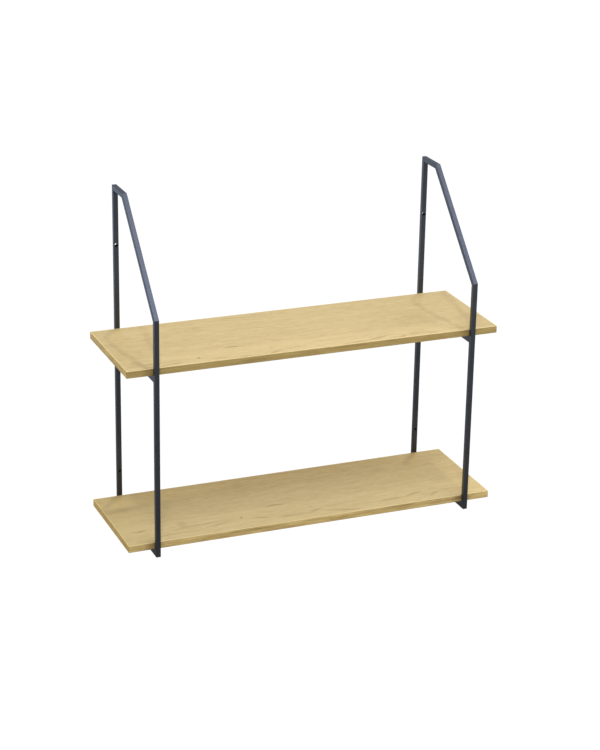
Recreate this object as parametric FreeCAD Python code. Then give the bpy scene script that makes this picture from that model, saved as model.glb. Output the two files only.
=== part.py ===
"""Wall shelf: two oak-veneered boards carried by a pair of welded square-tube frames.

Units are millimetres.  The origin is the centre of the four wall-screw holes, on the wall
plane.  +X runs along the shelves, +Y points into the wall and +Z is up.
"""

import FreeCAD, Part
import math
import os

# ---------------------------------------------------------------- driving dimensions
# Square tube of the frames
TUBE = 10.0                 # side of the square tube
TUBE_WALL = 1.2             # wall thickness
TUBE_CORNER = 0.9           # outside corner radius
RAIL_HEIGHT = 14.0          # height of the two shelf rails, 10 mm wide like the tube

# Frame outline, seen from the side
FRAME_DEPTH = 264.0         # wall plane to the face of the front upright
FRAME_PITCH = 682.0         # centre to centre of the two frames
FRAME_TOP = 673.0           # top of the frame above the top of the lower shelf
TOP_BAR_LENGTH = 68.0       # wall plane to the bend into the slanted bar
SLANT_FOOT = 472.0          # bend into the front upright above the top of the lower shelf

# Shelves
SHELF_LENGTH = 800.0
SHELF_DEPTH = 243.0
SHELF_THICKNESS = 15.0
SHELF_PITCH = 372.0         # top of the lower shelf to top of the upper shelf
VENEER = 0.6                # face veneer, above and below the core
EDGE_BAND = 1.5             # band round the four edges
ARRIS = 1.0                 # softened outside edges of the board

# Wall-screw holes
HOLE_PITCH = 494.0          # lower to upper hole
LOWER_HOLE_HEIGHT = 55.5    # lower hole above the top of the lower shelf
WALL_HOLE_R = 2.75          # hole for the screw shank, against the wall
ACCESS_HOLE_R = 4.0         # upper hole for the screw head and driver, facing the room

# Screws that hold the boards to the rails
SCREW_SPREAD = 160.0        # distance between the two screws of one rail
SCREW_R = 1.75
SCREW_LENGTH = 12.0         # below the head
SCREW_HEAD_R = 3.2
SCREW_HEAD_HEIGHT = 2.1
SCREW_TIP = 2.5             # length of the pointed end
SCREW_RECESS_R = 1.1
SCREW_RECESS_DEPTH = 1.0
SCREW_CLEARANCE_R = 2.1     # hole in the rail's upper wall
SCREW_ACCESS_R = 3.6        # hole in the rail's lower wall
PILOT_GAP = 0.03            # radial room of the screw in the board

# Weld beads
BEAD_RAIL = 2.4             # leg of the fillets under the shelf rails
BEAD_CORNER = 1.4           # leg of the fillets in the inside corners
BEAD_WIDTH = 8.0

# ---------------------------------------------------------------- derived positions
LOWER_TOP = -(LOWER_HOLE_HEIGHT + HOLE_PITCH / 2.0)
UPPER_TOP = LOWER_TOP + SHELF_PITCH
Z_TOP = LOWER_TOP + FRAME_TOP
Z_BEND = LOWER_TOP + SLANT_FOOT
Z_BOTTOM = LOWER_TOP - SHELF_THICKNESS - RAIL_HEIGHT
SHELF_GAP = (FRAME_DEPTH - 2.0 * TUBE - SHELF_DEPTH) / 2.0
SHELF_BACK = -(TUBE + SHELF_GAP)
SHELF_FRONT = SHELF_BACK - SHELF_DEPTH
SHELF_MID = (SHELF_BACK + SHELF_FRONT) / 2.0

SIDES = {"left": -FRAME_PITCH / 2.0, "right": FRAME_PITCH / 2.0}
LEVELS = {"lower": LOWER_TOP, "upper": UPPER_TOP}

X_AXIS = FreeCAD.Vector(1, 0, 0)
Y_AXIS = FreeCAD.Vector(0, 1, 0)
Z_AXIS = FreeCAD.Vector(0, 0, 1)
ORIGIN = FreeCAD.Vector(0, 0, 0)


def save(name, shape):
    """Write one node as a STEP file."""
    if not shape.isValid():
        raise RuntimeError(name + " is not a valid shape")
    shape.exportStep("parts/" + name + ".step")


def box(x0, x1, y0, y1, z0, z1):
    """Box between two corners."""
    return Part.makeBox(x1 - x0, y1 - y0, z1 - z0, FreeCAD.Vector(x0, y0, z0))


def prism(outline, x0, x1):
    """Solid between two X planes whose outline is a list of (y, z) points."""
    points = [FreeCAD.Vector(x0, y, z) for y, z in outline]
    wire = Part.makePolygon(points + [points[0]])
    return Part.Face(wire).extrude(FreeCAD.Vector(x1 - x0, 0, 0))


def rounded_bar(width, length, height, radius):
    """Bar along Y, centred on X = 0, standing on Z = 0, with its long edges rounded."""
    bar = Part.makeBox(width, length, height, FreeCAD.Vector(-width / 2.0, 0, 0))
    long_edges = [e for e in bar.Edges if abs(e.tangentAt(e.FirstParameter).y) > 0.99]
    return bar.makeFillet(radius, long_edges)


def square_tube(length, height):
    """Hollow tube along Y, open at both ends."""
    outer = rounded_bar(TUBE, length, height, TUBE_CORNER)
    inner = rounded_bar(TUBE - 2.0 * TUBE_WALL, length + 2.0, height - 2.0 * TUBE_WALL, 0.3)
    inner.translate(FreeCAD.Vector(0, -1.0, TUBE_WALL))
    return outer.cut(inner)


def lay_along(shape, start, end, x_mid):
    """Turn a bar made along Y so that it runs from start to end, both (y, z) points."""
    angle = math.degrees(math.atan2(end[1] - start[1], end[0] - start[0]))
    shape.rotate(ORIGIN, X_AXIS, angle)
    shape.translate(FreeCAD.Vector(x_mid, start[0], start[1]))
    return shape


def offset_line(start, end, distance):
    """Line moved sideways, to the inside of the frame: a point and a unit direction."""
    length = math.hypot(end[0] - start[0], end[1] - start[1])
    direction = ((end[0] - start[0]) / length, (end[1] - start[1]) / length)
    point = (start[0] - direction[1] * distance, start[1] + direction[0] * distance)
    return point, direction


def crossing(first, second):
    """Point where two lines cross."""
    (p, d), (q, e) = first, second
    det = d[0] * e[1] - d[1] * e[0]
    t = ((q[0] - p[0]) * e[1] - (q[1] - p[1]) * e[0]) / det
    return (p[0] + d[0] * t, p[1] + d[1] * t)


# ---------------------------------------------------------------- frame outline
BARS = ["back_upright", "top_bar", "slant_bar", "front_upright", "lower_rail"]
HEIGHTS = [TUBE, TUBE, TUBE, TUBE, RAIL_HEIGHT]
OUTER = [
    (0.0, Z_BOTTOM),
    (0.0, Z_TOP),
    (-TOP_BAR_LENGTH, Z_TOP),
    (-FRAME_DEPTH, Z_BEND),
    (-FRAME_DEPTH, Z_BOTTOM),
]
INSIDE_LINES = [offset_line(OUTER[i], OUTER[(i + 1) % 5], HEIGHTS[i]) for i in range(5)]
INNER = [crossing(INSIDE_LINES[i - 1], INSIDE_LINES[i]) for i in range(5)]


def beyond(index, share):
    """Point on the mitre line of a corner: 0 is the outer corner and 1 the inner one."""
    outer, inner = OUTER[index], INNER[index]
    return (
        outer[0] + (inner[0] - outer[0]) * share,
        outer[1] + (inner[1] - outer[1]) * share,
    )


def mitred_bar(index, x_mid):
    """Tube of one side of the frame outline, cut off at the mitre of each corner."""
    following = (index + 1) % 5
    start, end = OUTER[index], OUTER[following]
    length = math.hypot(end[0] - start[0], end[1] - start[1])
    spare = 2.0 * TUBE
    tube = square_tube(length + 2.0 * spare, HEIGHTS[index])
    tube.translate(FreeCAD.Vector(0, -spare, 0))
    lay_along(tube, start, end, x_mid)
    mitres = [
        beyond(index, -0.3),
        beyond(following, -0.3),
        beyond(following, 1.3),
        beyond(index, 1.3),
    ]
    return tube.common(prism(mitres, x_mid - TUBE, x_mid + TUBE))


def screw_spots(x_mid):
    """X and Y of the two board screws of one rail."""
    return [(x_mid, SHELF_MID - SCREW_SPREAD / 2.0), (x_mid, SHELF_MID + SCREW_SPREAD / 2.0)]


def drill_rail(rail, x_mid, rail_top):
    """Screw hole in the upper wall and driver hole in the lower wall, twice."""
    for x, y in screw_spots(x_mid):
        clearance = Part.makeCylinder(
            SCREW_CLEARANCE_R, 2.0 * TUBE_WALL, FreeCAD.Vector(x, y, rail_top - 1.5 * TUBE_WALL)
        )
        access = Part.makeCylinder(
            SCREW_ACCESS_R,
            2.0 * TUBE_WALL,
            FreeCAD.Vector(x, y, rail_top - RAIL_HEIGHT - 0.5 * TUBE_WALL),
        )
        rail = rail.cut(clearance).cut(access)
    return rail


def drill_upright(upright, x_mid):
    """Wall-screw holes through both walls; the upper one is wider on the room side."""
    for z, front_radius in ((-HOLE_PITCH / 2.0, WALL_HOLE_R), (HOLE_PITCH / 2.0, ACCESS_HOLE_R)):
        at_wall = Part.makeCylinder(
            WALL_HOLE_R, 2.0 * TUBE_WALL, FreeCAD.Vector(x_mid, -1.5 * TUBE_WALL, z), Y_AXIS
        )
        to_room = Part.makeCylinder(
            front_radius,
            2.0 * TUBE_WALL,
            FreeCAD.Vector(x_mid, -TUBE - 0.5 * TUBE_WALL, z),
            Y_AXIS,
        )
        upright = upright.cut(at_wall).cut(to_room)
    return upright


def bead(corner, first, second, leg, x_mid):
    """Weld fillet in an inside corner, between two directions that leave the corner."""
    outline = [
        corner,
        (corner[0] + first[0] * leg, corner[1] + first[1] * leg),
        (
            corner[0] + (first[0] + second[0]) * leg * 0.42,
            corner[1] + (first[1] + second[1]) * leg * 0.42,
        ),
        (corner[0] + second[0] * leg, corner[1] + second[1] * leg),
    ]
    return prism(outline, x_mid - BEAD_WIDTH / 2.0, x_mid + BEAD_WIDTH / 2.0)


def frame_beads(x_mid):
    """The weld fillets of one frame: two under the upper rail, three in the corners."""
    under = UPPER_TOP - SHELF_THICKNESS - RAIL_HEIGHT
    beads = [
        bead((-TUBE, under), (-1.0, 0.0), (0.0, -1.0), BEAD_RAIL, x_mid),
        bead((-FRAME_DEPTH + TUBE, under), (1.0, 0.0), (0.0, -1.0), BEAD_RAIL, x_mid),
    ]
    for i in (1, 2, 3):
        into = INSIDE_LINES[i][1]
        back = (-INSIDE_LINES[i - 1][1][0], -INSIDE_LINES[i - 1][1][1])
        beads.append(bead(INNER[i], into, back, BEAD_CORNER, x_mid))
    return Part.makeCompound(beads)


def board_screw(x, y, rail_top):
    """Pan-head screw standing on its head inside the rail, point up."""
    seat = rail_top - TUBE_WALL
    head = Part.makeCylinder(SCREW_HEAD_R, SCREW_HEAD_HEIGHT, FreeCAD.Vector(x, y, seat), -Z_AXIS)
    rim = [e for e in head.Edges if e.BoundBox.ZMax < seat - SCREW_HEAD_HEIGHT + 0.01]
    head = head.makeFillet(1.1, rim)
    recess = Part.makeCylinder(
        SCREW_RECESS_R, SCREW_RECESS_DEPTH, FreeCAD.Vector(x, y, seat - SCREW_HEAD_HEIGHT)
    )
    plain = SCREW_LENGTH - SCREW_TIP
    shank = Part.makeCylinder(SCREW_R, plain + 0.5, FreeCAD.Vector(x, y, seat - 0.5))
    tip = Part.makeCone(SCREW_R, 0.3, SCREW_TIP, FreeCAD.Vector(x, y, seat + plain))
    return head.cut(recess).fuse([shank, tip]).removeSplitter()


def screw_hole(x, y, board_bottom):
    """Room for one screw in the board, following its shank and its point."""
    radius = SCREW_R + PILOT_GAP
    depth = SCREW_LENGTH - TUBE_WALL - SCREW_TIP
    start = FreeCAD.Vector(x, y, board_bottom - 1.0)
    shank = Part.makeCylinder(radius, depth + 1.0, start)
    tip = Part.makeCone(
        radius, 0.33, SCREW_TIP + 0.05, FreeCAD.Vector(x, y, board_bottom + depth)
    )
    return shank.fuse(tip)


def shelf_board(level, top):
    """Core, two face veneers and four edge bands of one shelf."""
    bottom = top - SHELF_THICKNESS
    half = SHELF_LENGTH / 2.0
    whole = box(-half, half, SHELF_FRONT, SHELF_BACK, bottom, top)
    whole = whole.makeFillet(ARRIS, whole.Edges)
    far = half + 1.0
    inner_x = half - EDGE_BAND
    inner_front = SHELF_FRONT + EDGE_BAND
    inner_back = SHELF_BACK - EDGE_BAND
    z0, z1 = bottom - 1.0, top + 1.0
    bands = {
        "front_band": box(-far, far, SHELF_FRONT - 1.0, inner_front, z0, z1),
        "back_band": box(-far, far, inner_back, SHELF_BACK + 1.0, z0, z1),
        "left_band": box(-far, -inner_x, inner_front, inner_back, z0, z1),
        "right_band": box(inner_x, far, inner_front, inner_back, z0, z1),
    }
    for name, region in bands.items():
        save(level + "_shelf_" + name, whole.common(region))
    layers = {
        "core": (bottom + VENEER, top - VENEER),
        "top_veneer": (top - VENEER, top),
        "bottom_veneer": (bottom, bottom + VENEER),
    }
    for name, (low, high) in layers.items():
        layer = box(-inner_x, inner_x, inner_front, inner_back, low, high)
        if name != "top_veneer":
            for x_mid in SIDES.values():
                for x, y in screw_spots(x_mid):
                    layer = layer.cut(screw_hole(x, y, bottom))
        save(level + "_shelf_" + name, layer)


def main():
    """Build every node and write it."""
    os.makedirs("parts", exist_ok=True)
    for side, x_mid in SIDES.items():
        for index, bar in enumerate(BARS):
            shape = mitred_bar(index, x_mid)
            if bar == "back_upright":
                shape = drill_upright(shape, x_mid)
            if bar == "lower_rail":
                shape = drill_rail(shape, x_mid, LOWER_TOP - SHELF_THICKNESS)
            save(side + "_" + bar, shape)
        rail_top = UPPER_TOP - SHELF_THICKNESS
        rail = square_tube(FRAME_DEPTH - 2.0 * TUBE, RAIL_HEIGHT)
        rail.translate(FreeCAD.Vector(x_mid, TUBE - FRAME_DEPTH, rail_top - RAIL_HEIGHT))
        save(side + "_upper_rail", drill_rail(rail, x_mid, rail_top))
        save(side + "_frame_welds", frame_beads(x_mid))
        for level, top in LEVELS.items():
            seat = top - SHELF_THICKNESS
            pair = [board_screw(x, y, seat) for x, y in screw_spots(x_mid)]
            save(side + "_" + level + "_board_screws", Part.makeCompound(pair))
    for level, top in LEVELS.items():
        shelf_board(level, top)


main()
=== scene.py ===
import math

import bmesh
import bpy
from bpy.props import FloatProperty, FloatVectorProperty, PointerProperty
from mathutils import Matrix, Vector


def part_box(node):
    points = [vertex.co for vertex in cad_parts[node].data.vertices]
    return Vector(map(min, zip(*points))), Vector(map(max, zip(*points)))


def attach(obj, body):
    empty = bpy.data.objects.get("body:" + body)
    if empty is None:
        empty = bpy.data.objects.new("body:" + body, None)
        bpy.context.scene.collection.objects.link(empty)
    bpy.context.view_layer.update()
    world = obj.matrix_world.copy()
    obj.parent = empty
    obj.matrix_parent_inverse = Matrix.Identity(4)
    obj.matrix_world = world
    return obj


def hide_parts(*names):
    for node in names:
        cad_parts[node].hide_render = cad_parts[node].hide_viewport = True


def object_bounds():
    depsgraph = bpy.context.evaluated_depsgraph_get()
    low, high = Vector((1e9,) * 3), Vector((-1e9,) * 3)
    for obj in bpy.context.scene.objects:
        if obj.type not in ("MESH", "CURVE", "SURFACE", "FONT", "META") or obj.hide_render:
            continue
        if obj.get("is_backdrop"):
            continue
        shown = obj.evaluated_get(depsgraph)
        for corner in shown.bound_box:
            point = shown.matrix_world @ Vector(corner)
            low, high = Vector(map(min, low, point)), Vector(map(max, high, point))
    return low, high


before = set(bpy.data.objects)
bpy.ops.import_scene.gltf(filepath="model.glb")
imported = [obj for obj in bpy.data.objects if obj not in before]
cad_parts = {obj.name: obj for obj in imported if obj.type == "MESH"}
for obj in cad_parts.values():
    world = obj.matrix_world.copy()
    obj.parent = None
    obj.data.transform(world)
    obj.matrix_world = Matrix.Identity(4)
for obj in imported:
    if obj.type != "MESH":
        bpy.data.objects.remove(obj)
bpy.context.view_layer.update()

bl_info = {
    "name": "Wall Shelf With Brackets",
    "version": (1, 0, 0),
    "blender": (4, 5, 0),
    "location": "3D View > Sidebar > Wall Shelf",
    "description": "Finishes a two-board wall shelf: coated steel frames, oak boards, welds and screws",
    "category": "Add Mesh",
}

MM = 0.001
FLOOR_GLOW = 0.975
SIDES = ("left", "right")
LEVELS = ("upper", "lower")
# Where each board's left back corner lies on the veneer sheet (m)
SHEET_CUT = {"upper": (0.0, 0.0), "lower": (-0.102, 0.024)}
# Painted light: the lower board's long edge bands are painted paler, standing in for more light on them
LOWER_BAND_PAINTED_LIGHT = (1.60, 1.64, 2.00)
TUBES = ("back_upright", "top_bar", "slant_bar", "front_upright", "upper_rail", "lower_rail")

# Screws and welds (m)
SCREW_HEAD_RADIUS = 0.0032
SCREW_HEAD_HEIGHT = 0.0021
DRIVE_SLOT_WIDTH = 0.0007
DRIVE_SLOT_LENGTH = 0.0034
DRIVE_SLOT_HEIGHT = 0.0022
WELD_END_INSET = 0.0006

# Veneer sheet (m): where the pale strip starts, and the centre and half size of the ripples
PALE_STRIP = (0.179, 0.192)
RIPPLE_CENTRE = (0.265, 0.028, 0.0)
RIPPLE_REACH = (0.17, 0.045, 1.0)

# Pale rim of the top veneer and pale arris of the bands, rubbed-through wood and painted highlight,
# measured inwards and downwards (m)
RIM_WEAR_AND_HIGHLIGHT = (0.0016, 0.0032)
ARRIS_WEAR_AND_HIGHLIGHT = (0.0018, 0.0009)

# Painted shadow of each front upright on the long edge bands: how far left of the upright its middle lies,
# and its reach (m)
POST_SHADOW_OFFSET = 0.007
POST_SHADOW_REACH = (0.008, 0.024)

# Stage: how far the floor lies below the shelf, half side of its planes, fades of the cards (m)
FLOOR_DROP = 1.2
PLANE_REACH = 40.0
CARD_TINT_FADE = (2.4, 5.0)
CARD_GLOW_FADE = (2.8, 5.0)
CARD_GLOW = (0.06, 0.90)

# Camera: angles (degrees), focal length (mm) and place (m)
CAMERA_AZIMUTH = -22.441
CAMERA_ELEVATION = 20.901
CAMERA_ROLL = 1.039
CAMERA_LENS = 100.76
CAMERA_PLACE = (-1.53353, -3.87506, 1.51295)


# ------------------------------------------------------------------ settings
class WallShelfSizes(bpy.types.PropertyGroup):
    """Sizes of the small made-in-place details"""

    bead_radius: FloatProperty(
        name="Bead radius",
        description="Half width of a weld bead",
        default=1.25 * MM,
        min=0.2 * MM,
        unit="LENGTH",
    )
    bead_pitch: FloatProperty(
        name="Bead ripple",
        description="Distance from one ripple of a weld bead to the next",
        default=1.1 * MM,
        min=0.3 * MM,
        unit="LENGTH",
    )
    screw_radius: FloatProperty(
        name="Screw radius",
        description="Outside radius of the board screws' thread",
        default=1.75 * MM,
        unit="LENGTH",
    )
    screw_length: FloatProperty(
        name="Screw length",
        description="Length of a board screw under its head",
        default=12.0 * MM,
        unit="LENGTH",
    )
    screw_pitch: FloatProperty(
        name="Thread pitch",
        description="Distance between two turns of the thread",
        default=1.6 * MM,
        min=0.5 * MM,
        unit="LENGTH",
    )


class WallShelfColours(bpy.types.PropertyGroup):
    """Colours and gloss of the shelf's finishes"""

    coating: FloatVectorProperty(
        name="Frame coating",
        description="Powder coat of the steel frames",
        subtype="COLOR",
        size=3,
        default=(0.0085, 0.0078, 0.0075),
        min=0.0,
        max=1.0,
    )
    coating_roughness: FloatProperty(
        name="Coating roughness",
        description="0 is a mirror and 1 is chalk",
        default=0.42,
        min=0.0,
        max=1.0,
        subtype="FACTOR",
    )
    oak_light: FloatVectorProperty(
        name="Oak, light wood",
        description="Early wood between the grain lines",
        subtype="COLOR",
        size=3,
        default=(0.608, 0.462, 0.208),
        min=0.0,
        max=1.0,
    )
    oak_dark: FloatVectorProperty(
        name="Oak, dark wood",
        description="Late wood, streaks and knots",
        subtype="COLOR",
        size=3,
        default=(0.27, 0.165, 0.05),
        min=0.0,
        max=1.0,
    )
    long_band: FloatVectorProperty(
        name="Long edge bands",
        description="Light tone of the bands along the front and the back",
        subtype="COLOR",
        size=3,
        default=(0.505, 0.366, 0.116),
        min=0.0,
        max=1.0,
    )
    # Painted light: the end bands are painted much paler than the long bands, standing in for the stronger
    # light on the ends
    end_band_painted_light: FloatVectorProperty(
        name="End bands",
        description="Light tone of the bands at the left and right ends",
        subtype="COLOR",
        size=3,
        default=(0.915, 0.672, 0.247),
        min=0.0,
        max=1.0,
    )
    # This pale colour stands for rubbed-through wood and for a painted highlight along the boards' edges
    arris: FloatVectorProperty(
        name="Worn arris",
        description="Pale wood where the edges are rubbed through",
        subtype="COLOR",
        size=3,
        default=(0.67, 0.515, 0.235),
        min=0.0,
        max=1.0,
    )
    floor: FloatVectorProperty(
        name="Floor",
        description="Studio floor",
        subtype="COLOR",
        size=3,
        default=(0.03, 0.03, 0.03),
        min=0.0,
        max=1.0,
    )


def sizes():
    """Size settings of the scene."""
    return bpy.context.scene.wall_shelf_sizes


def colours():
    """Colour settings of the scene."""
    return bpy.context.scene.wall_shelf_colours


# ------------------------------------------------------------------ node helpers
class Graph:
    """Short way to build a node tree."""

    def __init__(self, tree):
        self.tree = tree

    def node(self, kind, inputs=None, **settings):
        """Add one node; inputs maps a socket name or number to a value or a socket."""
        made = self.tree.nodes.new(kind)
        for key, value in settings.items():
            setattr(made, key, value)
        for key, value in (inputs or {}).items():
            self.feed(made.inputs[key], value)
        return made

    def feed(self, socket, value):
        """Link a socket, or set its value."""
        if isinstance(value, bpy.types.NodeSocket):
            self.tree.links.new(value, socket)
        else:
            socket.default_value = value

    def math(self, operation, a, b=0.0, c=0.0, clamp=False):
        """Math node."""
        made = self.node("ShaderNodeMath", {0: a, 1: b, 2: c}, operation=operation)
        made.use_clamp = clamp
        return made.outputs[0]

    def vector(self, operation, a, b=(0.0, 0.0, 0.0)):
        """Vector math node."""
        made = self.node("ShaderNodeVectorMath", {0: a, 1: b}, operation=operation)
        return made.outputs["Value" if operation in ("DOT_PRODUCT", "LENGTH") else "Vector"]

    def xyz(self, x, y, z):
        """Vector from three numbers."""
        return self.node("ShaderNodeCombineXYZ", {0: x, 1: y, 2: z}).outputs[0]

    def split(self, vector):
        """The three numbers of a vector."""
        return self.node("ShaderNodeSeparateXYZ", {0: vector}).outputs

    def noise(self, vector, scale=1.0, detail=2.0, roughness=0.5, distortion=0.0):
        """Noise from 0 to 1."""
        made = self.node(
            "ShaderNodeTexNoise",
            {
                "Vector": vector,
                "Scale": scale,
                "Detail": detail,
                "Roughness": roughness,
                "Distortion": distortion,
            },
        )
        return made.outputs["Fac"]

    def ramp(self, value, low, high, out_low=0.0, out_high=1.0, smooth=True):
        """Value moved from one range to another, held at its ends."""
        made = self.node(
            "ShaderNodeMapRange",
            {"Value": value, 1: low, 2: high, 3: out_low, 4: out_high},
            interpolation_type="SMOOTHSTEP" if smooth else "LINEAR",
        )
        return made.outputs[0]

    def mix(self, factor, a, b, blend="MIX"):
        """Colour mix."""
        made = self.node("ShaderNodeMix", data_type="RGBA", blend_type=blend)
        self.feed(made.inputs[0], factor)
        self.feed(made.inputs[6], a)
        self.feed(made.inputs[7], b)
        return made.outputs[2]


def rgba(colour):
    """Colour with full alpha."""
    return (colour[0], colour[1], colour[2], 1.0)


def new_material(name):
    """Empty node material with its shader: material, graph and shader node."""
    material = bpy.data.materials.new(name)
    material.use_nodes = True
    tree = material.node_tree
    tree.nodes.clear()
    graph = Graph(tree)
    shader = graph.node("ShaderNodeBsdfPrincipled")
    output = graph.node("ShaderNodeOutputMaterial")
    tree.links.new(shader.outputs[0], output.inputs[0])
    return material, graph, shader


def object_place(graph):
    """Object coordinates in metres."""
    return graph.node("ShaderNodeTexCoord").outputs["Object"]


def bump(graph, shader, height, distance, strength=1.0):
    """Height field in metres times distance, on the shader's normal."""
    made = graph.node(
        "ShaderNodeBump", {"Strength": strength, "Distance": distance, "Height": height}
    )
    graph.feed(shader.inputs["Normal"], made.outputs[0])


# ------------------------------------------------------------------ finishes
def powder_coat():
    """Satin charcoal powder coat with fine orange peel."""
    material, graph, shader = new_material("charcoal_powder_coat")
    place = object_place(graph)
    peel = graph.noise(place, 620.0, 3.0, 0.55)
    cloud = graph.noise(place, 14.0, 3.0, 0.5)
    speck = graph.noise(place, 2600.0, 1.0, 0.5)
    base = rgba(colours().coating)
    pale = rgba([c * 1.5 + 0.004 for c in colours().coating])
    tone = graph.math("ADD", graph.ramp(cloud, 0.3, 0.75), graph.ramp(speck, 0.62, 0.78, 0.0, 0.5))
    graph.feed(shader.inputs["Base Color"], graph.mix(tone, base, pale))
    rough = colours().coating_roughness
    graph.feed(
        shader.inputs["Roughness"], graph.ramp(peel, 0.3, 0.7, rough - 0.05, rough + 0.06)
    )
    shader.inputs["IOR"].default_value = 1.68
    shader.inputs["Specular Tint"].default_value = (0.90, 0.95, 1.0, 1.0)
    bump(graph, shader, peel, 0.00006)
    return material


def zinc():
    """Bright zinc plating of the screws."""
    material, graph, shader = new_material("bright_zinc")
    place = object_place(graph)
    mottle = graph.noise(place, 900.0, 3.0, 0.6)
    graph.feed(
        shader.inputs["Base Color"],
        graph.mix(mottle, (0.52, 0.53, 0.55, 1.0), (0.68, 0.69, 0.70, 1.0)),
    )
    graph.feed(shader.inputs["Roughness"], graph.ramp(mottle, 0.3, 0.7, 0.22, 0.4))
    shader.inputs["Metallic"].default_value = 1.0
    bump(graph, shader, mottle, 0.00003)
    return material


def pressed_core():
    """Raw pressed wood of the board's core."""
    material, graph, shader = new_material("pressed_core")
    place = object_place(graph)
    chips = graph.node(
        "ShaderNodeTexVoronoi", {"Vector": graph.vector("MULTIPLY", place, (260, 420, 900))}
    )
    dust = graph.noise(place, 700.0, 3.0, 0.6)
    shade = graph.split(chips.outputs["Color"])[0]
    graph.feed(
        shader.inputs["Base Color"],
        graph.mix(
            graph.math("MULTIPLY", shade, dust), (0.50, 0.36, 0.19, 1.0), (0.26, 0.17, 0.08, 1.0)
        ),
    )
    shader.inputs["Roughness"].default_value = 0.9
    bump(graph, shader, chips.outputs["Distance"], 0.0002)
    return material


def grain_frame(graph, shift, along="X"):
    """Place on the veneer sheet: metres along the grain, across it and through it."""
    x, y, z = graph.split(object_place(graph))
    if along == "Y":
        x, y = y, x
    s = graph.math("ADD", x, shift[0])
    t = graph.math("SUBTRACT", shift[1], y)
    bend = graph.noise(graph.xyz(graph.math("MULTIPLY", s, 2.6), graph.math("MULTIPLY", t, 9.0), z))
    t = graph.math("MULTIPLY_ADD", graph.math("SUBTRACT", bend, 0.5), 0.016, t)
    return s, t, z


def grain(graph, place, per_length, per_width, detail=3.0, rough=0.55):
    """Noise drawn out along the grain; the two numbers are cycles per metre."""
    s, t, z = place
    stretched = graph.xyz(
        graph.math("MULTIPLY", s, per_length),
        graph.math("MULTIPLY", t, per_width),
        graph.math("MULTIPLY", z, per_width),
    )
    return graph.noise(stretched, 1.0, detail, rough)


# Marks in the veneer and one patch of painted shade, on the sheet both boards are cut from: place along
# the grain, place across it, half length, half width (mm), slope (degrees) and depth of colour.
KNOTS_AND_PAINTED_SHADE = (
    (157, 215, 4.5, 3.4, 0, 0.38),
    (311, 214, 4.0, 3.0, 0, 0.18),
    (31, 207, 13, 9, 0, 0.15),
    (620, 112, 75, 34, 0, 0.03),
    (655, 160, 65, 48, 0, 0.05),
    # Painted shade: darker patch at the upper board's front right corner, beside the front upright
    (782, 222, 75, 42, 0, 0.11),
    (85, 45, 90, 22, 0, -0.06),
    (208, 56, 15, 9, 0, 0.08),
)
STREAKS = (
    (248, 180, 36, 1.7, 0, 0.28),
    (238, 178, 16, 3.0, 0, 0.10),
    (-62, 210, 24, 1.9, -2, 0.34),
    (-56, 212, 12, 3.4, 0, 0.12),
    (86, 86, 20, 2.0, -8, 0.14),
    (278, 91, 18, 1.8, -10, 0.12),
    (335, 171, 13, 3.6, 0, 0.13),
    (435, 175, 13, 2.6, 0, 0.11),
    (-70, 97, 78, 9.0, -1, 0.08),
    (-78, 130, 64, 68, 0, -0.10),
    (-78, 220, 64, 45, 0, -0.07),
    (-62, 99, 26, 10.0, 0, 0.06),
)
FLAMES = (
    (73, 219, 85, 2.0, -3.6, 0.22),
    (5, 243, 62, 2.2, -3.5, 0.20),
    (100, 231, 42, 2.2, -11, 0.22),
    (198, 231, 26, 2.4, 20, 0.24),
    (258, 240, 46, 2.8, 2, 0.26),
    (315, 234, 24, 2.8, -22, 0.24),
    (360, 222, 32, 2.4, -8, 0.16),
    (370, 251, 54, 2.2, 14, 0.20),
    (485, 238, 36, 2.4, -6, 0.22),
    (541, 227, 28, 2.6, -17, 0.32),
    (586, 238, 20, 2.4, -36, 0.24),
    (618, 227, 24, 2.4, -5, 0.24),
    (652, 231, 18, 2.4, 14, 0.20),
)


def veneer_marks(graph, place):
    """Depth of the knots, streaks, flame lines and one patch of painted shade at a place on the sheet."""
    s, t, z = place
    wander = graph.noise(graph.xyz(s, t, z), 38.0, 2.0, 0.5)
    shaken = graph.xyz(
        s, graph.math("MULTIPLY_ADD", graph.math("SUBTRACT", wander, 0.5), 0.007, t), 0.0
    )
    total = 0.0
    for along, across, length, width, slope, depth in KNOTS_AND_PAINTED_SHADE + STREAKS + FLAMES:
        local = graph.node(
            "ShaderNodeMapping",
            {
                "Vector": shaken,
                "Location": (along * MM, across * MM, 0.0),
                "Rotation": (0.0, 0.0, math.radians(slope)),
                "Scale": (length * 1.15 * MM, width * 1.9 * MM, 1.0),
            },
            vector_type="TEXTURE",
        )
        spot = graph.node(
            "ShaderNodeTexGradient", {0: local.outputs[0]}, gradient_type="SPHERICAL"
        )
        soft = graph.ramp(spot.outputs["Fac"], 0.0, 0.7)
        total = graph.math("MULTIPLY_ADD", soft, depth, total)
    return total


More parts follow.
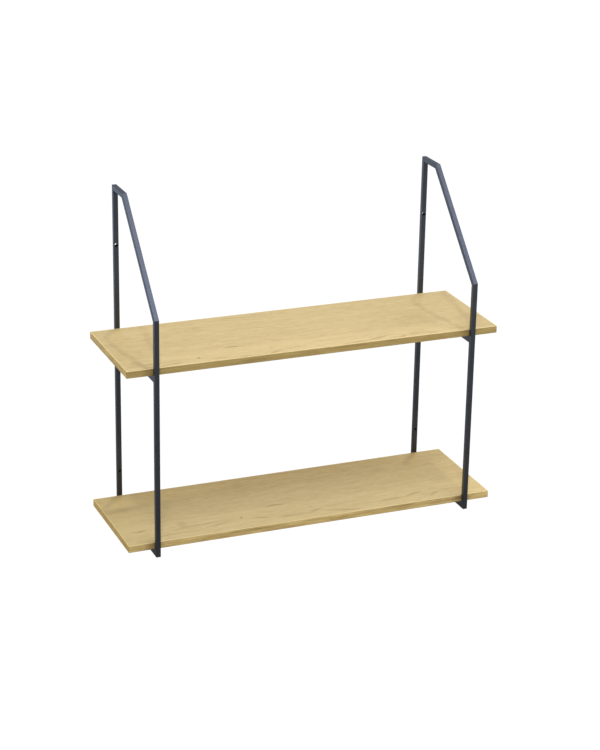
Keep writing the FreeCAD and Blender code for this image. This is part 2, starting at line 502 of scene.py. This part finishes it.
def ripple_marks(graph, place):
    """Slanting ripples across the grain near the back of the sheet."""
    s, t, _ = place
    flat = graph.xyz(s, t, 0.0)
    patch = graph.node(
        "ShaderNodeMapping",
        {
            "Vector": flat,
            "Location": RIPPLE_CENTRE,
            "Rotation": (0.0, 0.0, math.radians(8.0)),
            "Scale": RIPPLE_REACH,
        },
        vector_type="TEXTURE",
    )
    mask = graph.node(
        "ShaderNodeTexGradient", {0: patch.outputs[0]}, gradient_type="SPHERICAL"
    ).outputs["Fac"]
    turned = graph.node(
        "ShaderNodeMapping",
        {"Vector": flat, "Rotation": (0.0, 0.0, math.radians(10.0))},
        vector_type="TEXTURE",
    )
    wave = graph.node(
        "ShaderNodeTexWave",
        {
            "Vector": turned.outputs[0],
            "Scale": 22.0,
            "Distortion": 1.6,
            "Detail": 2.0,
            "Detail Scale": 0.8,
        },
        wave_type="BANDS",
        bands_direction="Y",
    )
    level = graph.math("SUBTRACT", wave.outputs["Fac"], 0.45)
    return graph.math("MULTIPLY", level, graph.ramp(mask, 0.0, 0.6))


def rim(graph, low, high, inner, outer):
    """1 at the board's outside edge and 0 further in than the outer distance."""
    x, y, z = graph.split(object_place(graph))
    middle_x, middle_y = (low.x + high.x) / 2.0, (low.y + high.y) / 2.0
    off_x = graph.math("ABSOLUTE", graph.math("SUBTRACT", x, middle_x))
    off_y = graph.math("ABSOLUTE", graph.math("SUBTRACT", y, middle_y))
    room_x = graph.math("SUBTRACT", (high.x - low.x) / 2.0, off_x)
    room_y = graph.math("SUBTRACT", (high.y - low.y) / 2.0, off_y)
    room = graph.math("MINIMUM", room_x, room_y)
    rim_wobble = graph.noise(graph.xyz(x, y, z), 60.0, 3.0, 0.6)
    room = graph.math("MULTIPLY_ADD", graph.math("SUBTRACT", rim_wobble, 0.5), 0.0012, room)
    return graph.ramp(room, inner, outer, 1.0, 0.0)


def oak_sheet(name, tones, shift, low, high, gloss=0.46, marked=True):
    """Light oak veneer with long grain, pores, rays, knots, flame lines, one patch of painted shade, and a
    pale rim of rubbed-through wood and painted highlight.
    """
    material, graph, shader = new_material(name)
    place = grain_frame(graph, shift)
    cloud = grain(graph, place, 6.0, 18.0, 2.0)
    band = grain(graph, place, 5.5, 95.0, 3.0)
    fibre = grain(graph, place, 26.0, 420.0, 3.0)
    ray = grain(graph, place, 62.0, 200.0, 3.0)
    pores = grain(graph, place, 130.0, 2600.0, 1.0)
    tone = graph.math("MULTIPLY_ADD", graph.ramp(cloud, 0.25, 0.75), 0.07, 0.0)
    tone = graph.math("MULTIPLY_ADD", graph.ramp(band, 0.3, 0.75), 0.10, tone)
    tone = graph.math("MULTIPLY_ADD", graph.ramp(fibre, 0.3, 0.75), 0.20, tone)
    tone = graph.math("MULTIPLY_ADD", graph.ramp(ray, 0.35, 0.7), 0.14, tone)
    tone = graph.math("MULTIPLY_ADD", graph.ramp(pores, 0.58, 0.72), 0.14, tone)
    if marked:
        tone = graph.math("MULTIPLY_ADD", veneer_marks(graph, place), 1.45, tone)
        tone = graph.math("MULTIPLY_ADD", graph.ramp(place[1], *PALE_STRIP), -0.11, tone)
        tone = graph.math("MULTIPLY_ADD", ripple_marks(graph, place), 0.16, tone)
    wood = graph.mix(tone, rgba(tones.oak_light), rgba(tones.oak_dark))
    # Pale rim: rubbed-through wood and painted highlight along the board's edge
    edge = rim(graph, low, high, *RIM_WEAR_AND_HIGHLIGHT)
    wood = graph.mix(graph.math("MULTIPLY", edge, 0.75), wood, rgba(tones.arris))
    graph.feed(shader.inputs["Base Color"], wood)
    graph.feed(shader.inputs["Roughness"], graph.ramp(fibre, 0.3, 0.7, gloss - 0.04, gloss + 0.08))
    shader.inputs["IOR"].default_value = 1.45
    relief = graph.math("MULTIPLY_ADD", graph.ramp(pores, 0.58, 0.72), -1.0, fibre)
    bump(graph, shader, relief, 0.00008)
    return material


def oak_band(name, light, tones, along, top, posts=()):
    """Edge band: oak strip, paler at its arris from rubbed-through wood and painted highlight, with
    painted shadow just left of each front post.
    """
    material, graph, shader = new_material(name)
    place = grain_frame(graph, (0.3, 0.1), along)
    band = grain(graph, place, 9.0, 310.0, 3.0)
    fibre = grain(graph, place, 40.0, 900.0, 3.0)
    pores = grain(graph, place, 160.0, 2600.0, 1.0)
    patchy = grain(graph, place, 24.0, 60.0, 2.0)
    tone = graph.math("MULTIPLY", graph.ramp(band, 0.3, 0.75), 0.46)
    tone = graph.math("MULTIPLY_ADD", graph.ramp(fibre, 0.3, 0.75), 0.26, tone)
    tone = graph.math("MULTIPLY_ADD", graph.ramp(patchy, 0.3, 0.75), 0.20, tone)
    tone = graph.math("MULTIPLY_ADD", graph.ramp(pores, 0.58, 0.72), 0.14, tone)
    x, _, height = graph.split(object_place(graph))
    # Painted shadow: the band is darker just left of each front upright, where the upright's shadow falls
    for post in posts:
        post_shadow_gap = graph.math("ABSOLUTE", graph.math("SUBTRACT", x, post - POST_SHADOW_OFFSET))
        tone = graph.math("MULTIPLY_ADD", graph.ramp(post_shadow_gap, *POST_SHADOW_REACH, 1.0, 0.0), 0.30, tone)
    wood = graph.mix(tone, rgba(light), rgba(tones.oak_dark))
    # Pale arris: rubbed-through wood and painted highlight along the band's top edge
    arris_wobble = graph.noise(object_place(graph), 90.0, 2.0, 0.5)
    line = graph.math("MULTIPLY_ADD", graph.math("SUBTRACT", arris_wobble, 0.5), 0.0006, height)
    edge = graph.ramp(line, top - ARRIS_WEAR_AND_HIGHLIGHT[0], top - ARRIS_WEAR_AND_HIGHLIGHT[1])
    wood = graph.mix(graph.math("MULTIPLY", edge, 0.9), wood, rgba(tones.arris))
    graph.feed(shader.inputs["Base Color"], wood)
    graph.feed(shader.inputs["Roughness"], graph.ramp(fibre, 0.3, 0.7, 0.46, 0.58))
    shader.inputs["IOR"].default_value = 1.45
    bump(graph, shader, fibre, 0.00008)
    return material


def finish_nodes(names, material):
    """Give CAD nodes one material."""
    for name in names:
        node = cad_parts[name]
        node.data.materials.clear()
        node.data.materials.append(material)


# ------------------------------------------------------------------ geometry node helpers
def geometry_tree(name, inputs):
    """Geometry node group with a geometry socket and named number inputs."""
    tree = bpy.data.node_groups.new(name, "GeometryNodeTree")
    tree.interface.new_socket("Geometry", in_out="INPUT", socket_type="NodeSocketGeometry")
    tree.interface.new_socket("Geometry", in_out="OUTPUT", socket_type="NodeSocketGeometry")
    keys = {}
    for label, kind, default in inputs:
        socket = tree.interface.new_socket(label, in_out="INPUT", socket_type=kind)
        if default is not None:
            socket.default_value = default
        keys[label] = socket.identifier
    graph = Graph(tree)
    entry = graph.node("NodeGroupInput")
    return tree, graph, entry, keys


def close_tree(graph, geometry, material):
    """Realize the instances, set the material and send the geometry out."""
    real = graph.node("GeometryNodeRealizeInstances", {0: geometry})
    painted = graph.node("GeometryNodeSetMaterial", {"Geometry": real.outputs[0]})
    painted.inputs["Material"].default_value = material
    shown = graph.node("GeometryNodeSetShadeSmooth", {0: painted.outputs[0]})
    graph.node("NodeGroupOutput", {0: shown.outputs[0]})


def grown(name, seed_mesh, tree, keys, values):
    """Run a tree on a seed mesh and return a plain mesh object at the origin."""
    seed = bpy.data.objects.new(name + "_seed", seed_mesh)
    bpy.context.scene.collection.objects.link(seed)
    modifier = seed.modifiers.new("Grow", "NODES")
    modifier.node_group = tree
    for label, value in values.items():
        modifier[keys[label]] = value
    depsgraph = bpy.context.evaluated_depsgraph_get()
    result = bpy.data.meshes.new_from_object(seed.evaluated_get(depsgraph), depsgraph=depsgraph)
    seed.modifiers.remove(modifier)
    bpy.data.objects.remove(seed)
    result.name = name
    piece = bpy.data.objects.new(name, result)
    bpy.context.scene.collection.objects.link(piece)
    if not result.polygons:
        raise RuntimeError(name + " came out empty")
    return piece


def line_mesh(name, lines):
    """Mesh of separate straight edges."""
    mesh = bpy.data.meshes.new(name)
    points = [p for line in lines for p in line]
    edges = [(2 * i, 2 * i + 1) for i in range(len(lines))]
    mesh.from_pydata(points, edges, [])
    return mesh


def point_mesh(name, points):
    """Mesh of loose points."""
    mesh = bpy.data.meshes.new(name)
    mesh.from_pydata(points, [], [])
    return mesh


def islands(node_name):
    """Boxes of the separate solids of a CAD node, as (low corner, high corner)."""
    mesh = bmesh.new()
    mesh.from_mesh(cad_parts[node_name].data)
    bmesh.ops.remove_doubles(mesh, verts=mesh.verts, dist=1e-6)
    left = set(mesh.verts)
    boxes = []
    while left:
        stack = [left.pop()]
        found = list(stack)
        while stack:
            for edge in stack.pop().link_edges:
                for vert in edge.verts:
                    if vert in left:
                        left.remove(vert)
                        stack.append(vert)
                        found.append(vert)
        low = Vector([min(v.co[i] for v in found) for i in range(3)])
        high = Vector([max(v.co[i] for v in found) for i in range(3)])
        boxes.append((low, high))
    mesh.free()
    return sorted(boxes, key=lambda b: tuple(b[0]))


# ------------------------------------------------------------------ operators
class WALLSHELF_OT_frames(bpy.types.Operator):
    """Powder coat the tubes of both frames"""

    bl_idname = "wall_shelf.frames"
    bl_label = "Steel frames"

    def execute(self, context):
        coat = powder_coat()
        finish_nodes([f"{side}_{tube}" for side in SIDES for tube in TUBES], coat)
        return {"FINISHED"}


class WALLSHELF_OT_welds(bpy.types.Operator):
    """Rippled weld beads in the corners of both frames"""

    bl_idname = "wall_shelf.welds"
    bl_label = "Weld beads"

    def execute(self, context):
        tree, graph, entry, keys = geometry_tree(
            "rippled_bead",
            [
                ("Bead Radius", "NodeSocketFloat", 0.0012),
                ("Ripple Pitch", "NodeSocketFloat", 0.0011),
            ],
        )
        radius = entry.outputs["Bead Radius"]
        pitch = entry.outputs["Ripple Pitch"]
        step = graph.math("DIVIDE", pitch, 6.0)
        path = graph.node("GeometryNodeMeshToCurve", {0: entry.outputs["Geometry"]})
        fine = graph.node("GeometryNodeResampleCurve", mode="LENGTH")
        graph.feed(fine.inputs["Curve"], path.outputs[0])
        graph.feed(fine.inputs["Length"], step)
        index = graph.node("GeometryNodeInputIndex").outputs[0]
        phase = graph.math("MULTIPLY", index, math.tau / 6.0)
        ripple = graph.math("MULTIPLY_ADD", graph.math("SINE", phase), 0.11, 1.0)
        sized = graph.node("GeometryNodeSetCurveRadius", {0: fine.outputs[0]})
        graph.feed(sized.inputs["Radius"], graph.math("MULTIPLY", ripple, radius))
        ring = graph.node(
            "GeometryNodeCurvePrimitiveCircle", {"Resolution": 14, "Radius": 1.0}, mode="RADIUS"
        )
        skin = graph.node("GeometryNodeCurveToMesh")
        graph.feed(skin.inputs["Curve"], sized.outputs[0])
        graph.feed(skin.inputs["Profile Curve"], ring.outputs[0])
        skin.inputs["Fill Caps"].default_value = True
        if "Scale" in skin.inputs:
            scale = graph.node("GeometryNodeInputRadius").outputs[0]
            graph.feed(skin.inputs["Scale"], scale)
        close_tree(graph, skin.outputs[0], bpy.data.materials["charcoal_powder_coat"])
        for side in SIDES:
            node = side + "_frame_welds"
            lines = []
            for low, high in islands(node):
                middle = (low + high) / 2.0
                lines.append(
                    (
                        Vector((low.x + WELD_END_INSET, middle.y, middle.z)),
                        Vector((high.x - WELD_END_INSET, middle.y, middle.z)),
                    )
                )
            piece = grown(
                side + "_weld_beads",
                line_mesh(side + "_weld_lines", lines),
                tree,
                keys,
                {"Bead Radius": sizes().bead_radius, "Ripple Pitch": sizes().bead_pitch},
            )
            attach(piece, "root")
            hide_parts(node)
        return {"FINISHED"}


class WALLSHELF_OT_boards(bpy.types.Operator):
    """Veneer, edge bands and cores of both boards"""

    bl_idname = "wall_shelf.boards"
    bl_label = "Oak boards"

    def execute(self, context):
        tones = colours()
        core = pressed_core()
        posts = [sum(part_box(side + "_front_upright"), Vector()).x / 2.0 for side in SIDES]
        for level in LEVELS:
            shelf = level + "_shelf_"
            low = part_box(shelf + "left_band")[0]
            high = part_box(shelf + "right_band")[1]
            low.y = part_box(shelf + "front_band")[0].y
            high.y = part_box(shelf + "back_band")[1].y
            cut_x, cut_y = SHEET_CUT[level]
            shift = (cut_x - low.x, cut_y + high.y)
            under = (shift[0] + 1.3, shift[1] + 0.6)
            top = oak_sheet(f"oak_{level}_top", tones, shift, low, high)
            bottom = oak_sheet(f"oak_{level}_underside", tones, under, low, high, marked=False)
            # Painted light: the lower board's long bands get a paler copy of the band colour
            painted_lift = LOWER_BAND_PAINTED_LIGHT if level == "lower" else (1.0, 1.0, 1.0)
            front_tone = [c * k for c, k in zip(tones.long_band, painted_lift)]
            long_band = oak_band(
                f"oak_{level}_long_band", front_tone, tones, "X", high.z, posts
            )
            # Painted light: the end bands get the paler, lit copy of the band colour
            end_band_painted_light = oak_band(f"oak_{level}_end_band_painted_light", tones.end_band_painted_light, tones, "Y", high.z)
            finish_nodes([shelf + "top_veneer"], top)
            finish_nodes([shelf + "bottom_veneer"], bottom)
            finish_nodes([shelf + "core"], core)
            finish_nodes([shelf + "front_band", shelf + "back_band"], long_band)
            finish_nodes([shelf + "left_band", shelf + "right_band"], end_band_painted_light)
        return {"FINISHED"}


class WALLSHELF_OT_screws(bpy.types.Operator):
    """Board screws inside the four rails"""

    bl_idname = "wall_shelf.screws"
    bl_label = "Board screws"

    def execute(self, context):
        coat = zinc()
        tree, graph, entry, keys = geometry_tree(
            "threaded_screws",
            [
                ("Thread Radius", "NodeSocketFloat", 0.00175),
                ("Length", "NodeSocketFloat", 0.012),
                ("Pitch", "NodeSocketFloat", 0.0016),
                ("Head Radius", "NodeSocketFloat", SCREW_HEAD_RADIUS),
                ("Head Height", "NodeSocketFloat", SCREW_HEAD_HEIGHT),
            ],
        )
        radius = entry.outputs["Thread Radius"]
        length = entry.outputs["Length"]
        pitch = entry.outputs["Pitch"]
        head_radius = entry.outputs["Head Radius"]
        head_height = entry.outputs["Head Height"]
        bar = graph.node(
            "GeometryNodeMeshCylinder", {"Vertices": 20, "Side Segments": 60, "Radius": radius}
        )
        graph.feed(bar.inputs["Depth"], length)
        spot = graph.split(graph.node("GeometryNodeInputPosition").outputs[0])
        height = graph.math("MULTIPLY_ADD", length, 0.5, spot[2])
        turn = graph.math("DIVIDE", graph.math("ARCTAN2", spot[1], spot[0]), math.tau)
        wave = graph.math("FRACT", graph.math("SUBTRACT", graph.math("DIVIDE", height, pitch), turn))
        ridge = graph.math("ABSOLUTE", graph.math("MULTIPLY_ADD", wave, 2.0, -1.0))
        depth = graph.ramp(ridge, 0.35, 1.0, 0.72, 1.0)
        plain = graph.ramp(height, 0.0012, 0.0018, 0.0, 1.0)
        thread = graph.math("MULTIPLY_ADD", graph.math("SUBTRACT", depth, 0.78), plain, 0.78)
        left = graph.math("SUBTRACT", length, height)
        point = graph.ramp(left, 0.0, 0.0024, 0.12, 1.0, smooth=False)
        share = graph.math("MULTIPLY", thread, point)
        moved = graph.xyz(
            graph.math("MULTIPLY", spot[0], share), graph.math("MULTIPLY", spot[1], share), height
        )
        shank = graph.node("GeometryNodeSetPosition", {0: bar.outputs[0], "Position": moved})
        disc = graph.node(
            "GeometryNodeMeshCylinder",
            {"Vertices": 40, "Side Segments": 8, "Radius": head_radius, "Depth": head_height},
        )
        spot = graph.split(graph.node("GeometryNodeInputPosition").outputs[0])
        down = graph.math("MULTIPLY_ADD", head_height, -0.5, spot[2])
        low = graph.math("DIVIDE", graph.math("MULTIPLY", down, -1.0), head_height)
        dome = graph.math(
            "SQRT", graph.math("SUBTRACT", 1.0, graph.math("MULTIPLY", graph.math("POWER", low, 2.6), 0.6))
        )
        domed = graph.xyz(
            graph.math("MULTIPLY", spot[0], dome), graph.math("MULTIPLY", spot[1], dome), down
        )
        head = graph.node("GeometryNodeSetPosition", {0: disc.outputs[0], "Position": domed})
        cutter = graph.node("GeometryNodeJoinGeometry")
        for width, length_y in (
            (DRIVE_SLOT_WIDTH, DRIVE_SLOT_LENGTH),
            (DRIVE_SLOT_LENGTH, DRIVE_SLOT_WIDTH),
        ):
            size = (width, length_y, DRIVE_SLOT_HEIGHT)
            blade = graph.node("GeometryNodeMeshCube", {"Size": size})
            placed = graph.node(
                "GeometryNodeTransform",
                {0: blade.outputs[0], "Translation": (0.0, 0.0, -SCREW_HEAD_HEIGHT)},
            )
            graph.tree.links.new(placed.outputs[0], cutter.inputs[0])
        cross = graph.node("GeometryNodeMeshBoolean", operation="DIFFERENCE")
        graph.feed(cross.inputs[0], head.outputs[0])
        graph.tree.links.new(cutter.outputs[0], cross.inputs[1])
        whole = graph.node("GeometryNodeJoinGeometry")
        graph.tree.links.new(shank.outputs[0], whole.inputs[0])
        graph.tree.links.new(cross.outputs[0], whole.inputs[0])
        copies = graph.node("GeometryNodeInstanceOnPoints")
        graph.feed(copies.inputs["Points"], entry.outputs["Geometry"])
        graph.feed(copies.inputs["Instance"], whole.outputs[0])
        close_tree(graph, copies.outputs[0], coat)
        values = {
            "Thread Radius": sizes().screw_radius,
            "Length": sizes().screw_length,
            "Pitch": sizes().screw_pitch,
            "Head Radius": SCREW_HEAD_RADIUS,
            "Head Height": SCREW_HEAD_HEIGHT,
        }
        for side in SIDES:
            for level in LEVELS:
                node = f"{side}_{level}_board_screws"
                seats = []
                for low_corner, high_corner in islands(node):
                    middle = (low_corner + high_corner) / 2.0
                    seats.append((middle.x, middle.y, high_corner.z - sizes().screw_length))
                piece = grown(
                    f"{side}_{level}_rail_screws",
                    point_mesh(f"{side}_{level}_screw_seats", seats),
                    tree,
                    keys,
                    values,
                )
                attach(piece, "root")
                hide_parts(node)
        return {"FINISHED"}


def place_camera():
    """Camera looking at the shelf from the front, a little to its left and above."""
    azimuth = math.radians(CAMERA_AZIMUTH)
    elevation = math.radians(CAMERA_ELEVATION)
    roll = math.radians(CAMERA_ROLL)
    back = Vector(
        (
            math.sin(azimuth) * math.cos(elevation),
            -math.cos(azimuth) * math.cos(elevation),
            math.sin(elevation),
        )
    )
    right = Vector((math.cos(azimuth), math.sin(azimuth), 0.0))
    up = back.cross(right)
    tilted_right = right * math.cos(roll) + up * math.sin(roll)
    tilted_up = up * math.cos(roll) - right * math.sin(roll)
    data = bpy.data.cameras.new("studio_camera")
    data.sensor_fit = "AUTO"
    data.sensor_width = 36.0
    data.lens = CAMERA_LENS
    data.clip_start = 0.1
    data.clip_end = 60.0
    camera = bpy.data.objects.new("studio_camera", data)
    bpy.context.scene.collection.objects.link(camera)
    turn = Matrix((tilted_right, tilted_up, back)).transposed().to_4x4()
    camera.matrix_world = Matrix.Translation(CAMERA_PLACE) @ turn
    bpy.context.scene.camera = camera


def aim_light(name, kind, place, target, energy, colour=(1, 1, 1)):
    """Light at a place, turned towards a target."""
    data = bpy.data.lights.new(name, kind)
    data.energy = energy
    data.color = colour
    light = bpy.data.objects.new(name, data)
    bpy.context.scene.collection.objects.link(light)
    direction = Vector(target) - Vector(place)
    light.matrix_world = (
        Matrix.Translation(place) @ direction.to_track_quat("-Z", "Y").to_matrix().to_4x4()
    )
    return light


def studio_plane(name, reach, level):
    """Square plane of the stage."""
    mesh = bpy.data.meshes.new(name)
    corners = [(-reach, -reach), (reach, -reach), (reach, reach), (-reach, reach)]
    mesh.from_pydata([(x, y, level) for x, y in corners], [], [(0, 1, 2, 3)])
    plane = bpy.data.objects.new(name, mesh)
    bpy.context.scene.collection.objects.link(plane)
    plane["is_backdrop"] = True
    return plane


class WALLSHELF_OT_stage(bpy.types.Operator):
    """Pale floor, soft studio light and camera"""

    bl_idname = "wall_shelf.stage"
    bl_label = "Studio stage"

    def execute(self, context):
        low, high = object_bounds()
        level = low.z - FLOOR_DROP
        floor = studio_plane("studio_floor", PLANE_REACH, level)
        material, graph, shader = new_material("studio_floor")
        tint = graph.noise(object_place(graph), 0.6, 2.0, 0.5)
        pale = colours().floor
        graph.feed(
            shader.inputs["Base Color"],
            graph.mix(tint, rgba(pale), rgba([c * 0.98 for c in pale])),
        )
        shader.inputs["Roughness"].default_value = 0.9
        shader.inputs["Emission Color"].default_value = (1.0, 1.0, 1.0, 1.0)
        shader.inputs["Emission Strength"].default_value = FLOOR_GLOW
        floor.data.materials.append(material)
        floor.visible_diffuse = False
        floor.visible_glossy = False
        floor.visible_shadow = False

        for name, drop, near, away in (
            ("gloss_card", 0.01, (1.08, 0.96, 0.84, 1.0), (0.80, 0.94, 1.20, 1.0)),
            ("fill_card", 0.02, (1.04, 0.95, 0.84, 1.0), (1.02, 0.97, 0.90, 1.0)),
        ):
            card = studio_plane(name, PLANE_REACH, level - drop)
            material, graph, shader = new_material(name)
            shader.inputs["Base Color"].default_value = (0.0, 0.0, 0.0, 1.0)
            x, y, _ = graph.split(object_place(graph))
            reach = graph.vector("LENGTH", graph.xyz(x, y, 0.0))
            far = graph.ramp(reach, *CARD_TINT_FADE)
            graph.feed(shader.inputs["Emission Color"], graph.mix(far, near, away))
            glow = graph.ramp(reach, *CARD_GLOW_FADE, *CARD_GLOW)
            graph.feed(shader.inputs["Emission Strength"], glow)
            card.data.materials.append(material)
            card.visible_camera = False
            card.visible_shadow = False
            card.visible_glossy = name == "gloss_card"
            card.visible_diffuse = name == "fill_card"

        world = bpy.data.worlds.new("soft_studio")
        world.use_nodes = True
        world.node_tree.nodes.clear()
        graph = Graph(world.node_tree)
        way = graph.node("ShaderNodeTexCoord").outputs["Generated"]
        x, y, _ = graph.split(way)
        depth = graph.ramp(y, -1.0, 1.0, 0.34, 0.56)
        side = graph.ramp(graph.math("ABSOLUTE", x), 0.1, 1.0, 0.0, 0.28)
        amount = graph.math("ADD", depth, side)
        paths = graph.node("ShaderNodeLightPath").outputs
        shine = graph.mix(graph.ramp(y, -0.8, 0.3), (0.60, 0.58, 0.58, 1.0), (0.86, 0.97, 1.18, 1.0))
        tint = graph.mix(paths["Is Glossy Ray"], (1.13, 1.04, 0.72, 1.0), shine)
        lit = graph.node("ShaderNodeBackground", {"Color": tint, "Strength": amount})
        seen = graph.node("ShaderNodeBackground", {"Color": (1, 1, 1, 1), "Strength": 1.0})
        both = graph.node(
            "ShaderNodeMixShader", {0: paths["Is Camera Ray"], 1: lit.outputs[0], 2: seen.outputs[0]}
        )
        out = graph.node("ShaderNodeOutputWorld")
        graph.tree.links.new(both.outputs[0], out.inputs[0])
        context.scene.world = world

        centre = (low + high) / 2.0
        top = aim_light(
            "overhead_softbox",
            "AREA",
            centre + Vector((0.50, -1.20, 2.2)),
            centre,
            49.0,
            (0.85, 0.95, 1.31),
        )
        top.data.shape = "RECTANGLE"
        top.data.size = 2.2
        top.data.size_y = 1.4
        right = aim_light(
            "right_key", "SUN", centre + Vector((0.134, 0.158, 1.0)), centre, 0.43, (1.05, 1.0, 0.86)
        )
        right.data.angle = math.radians(1.6)
        left = aim_light(
            "left_key", "SUN", centre + Vector((-0.21, -0.51, 1.0)), centre, 0.59, (0.93, 1.0, 1.14)
        )
        left.data.angle = math.radians(4.2)
        reflector = aim_light(
            "right_reflector",
            "AREA",
            centre + Vector((1.05, -0.20, -0.02)),
            centre + Vector((0.1, -0.05, -0.3)),
            1.7,
            (1.0, 0.96, 0.86),
        )
        reflector.data.shape = "RECTANGLE"
        reflector.data.size = 0.7
        reflector.data.size_y = 0.06
        reflector.visible_glossy = False
        context.scene.view_settings.view_transform = "Standard"
        context.scene.view_settings.look = "None"
        place_camera()
        return {"FINISHED"}


class WALLSHELF_PT_panel(bpy.types.Panel):
    """Buttons and settings of the wall shelf"""

    bl_label = "Wall Shelf"
    bl_space_type = "VIEW_3D"
    bl_region_type = "UI"
    bl_category = "Wall Shelf"

    def draw(self, context):
        layout = self.layout
        for operator in STEPS:
            layout.operator(operator.bl_idname)
        box = layout.box()
        for name in WallShelfSizes.__annotations__:
            box.prop(context.scene.wall_shelf_sizes, name)
        box = layout.box()
        for name in WallShelfColours.__annotations__:
            box.prop(context.scene.wall_shelf_colours, name)


STEPS = (
    WALLSHELF_OT_frames,
    WALLSHELF_OT_welds,
    WALLSHELF_OT_boards,
    WALLSHELF_OT_screws,
    WALLSHELF_OT_stage,
)
CLASSES = (WallShelfSizes, WallShelfColours, *STEPS, WALLSHELF_PT_panel)


def register():
    """Add the classes and their settings to Blender."""
    for item in CLASSES:
        bpy.utils.register_class(item)
    bpy.types.Scene.wall_shelf_sizes = PointerProperty(type=WallShelfSizes)
    bpy.types.Scene.wall_shelf_colours = PointerProperty(type=WallShelfColours)


def unregister():
    """Take them away again."""
    del bpy.types.Scene.wall_shelf_colours
    del bpy.types.Scene.wall_shelf_sizes
    for item in reversed(CLASSES):
        bpy.utils.unregister_class(item)


def main():
    """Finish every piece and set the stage."""
    register()
    bpy.ops.wall_shelf.frames()
    bpy.ops.wall_shelf.welds()
    bpy.ops.wall_shelf.boards()
    bpy.ops.wall_shelf.screws()
    bpy.ops.wall_shelf.stage()


if __name__ == "__main__":
    main()
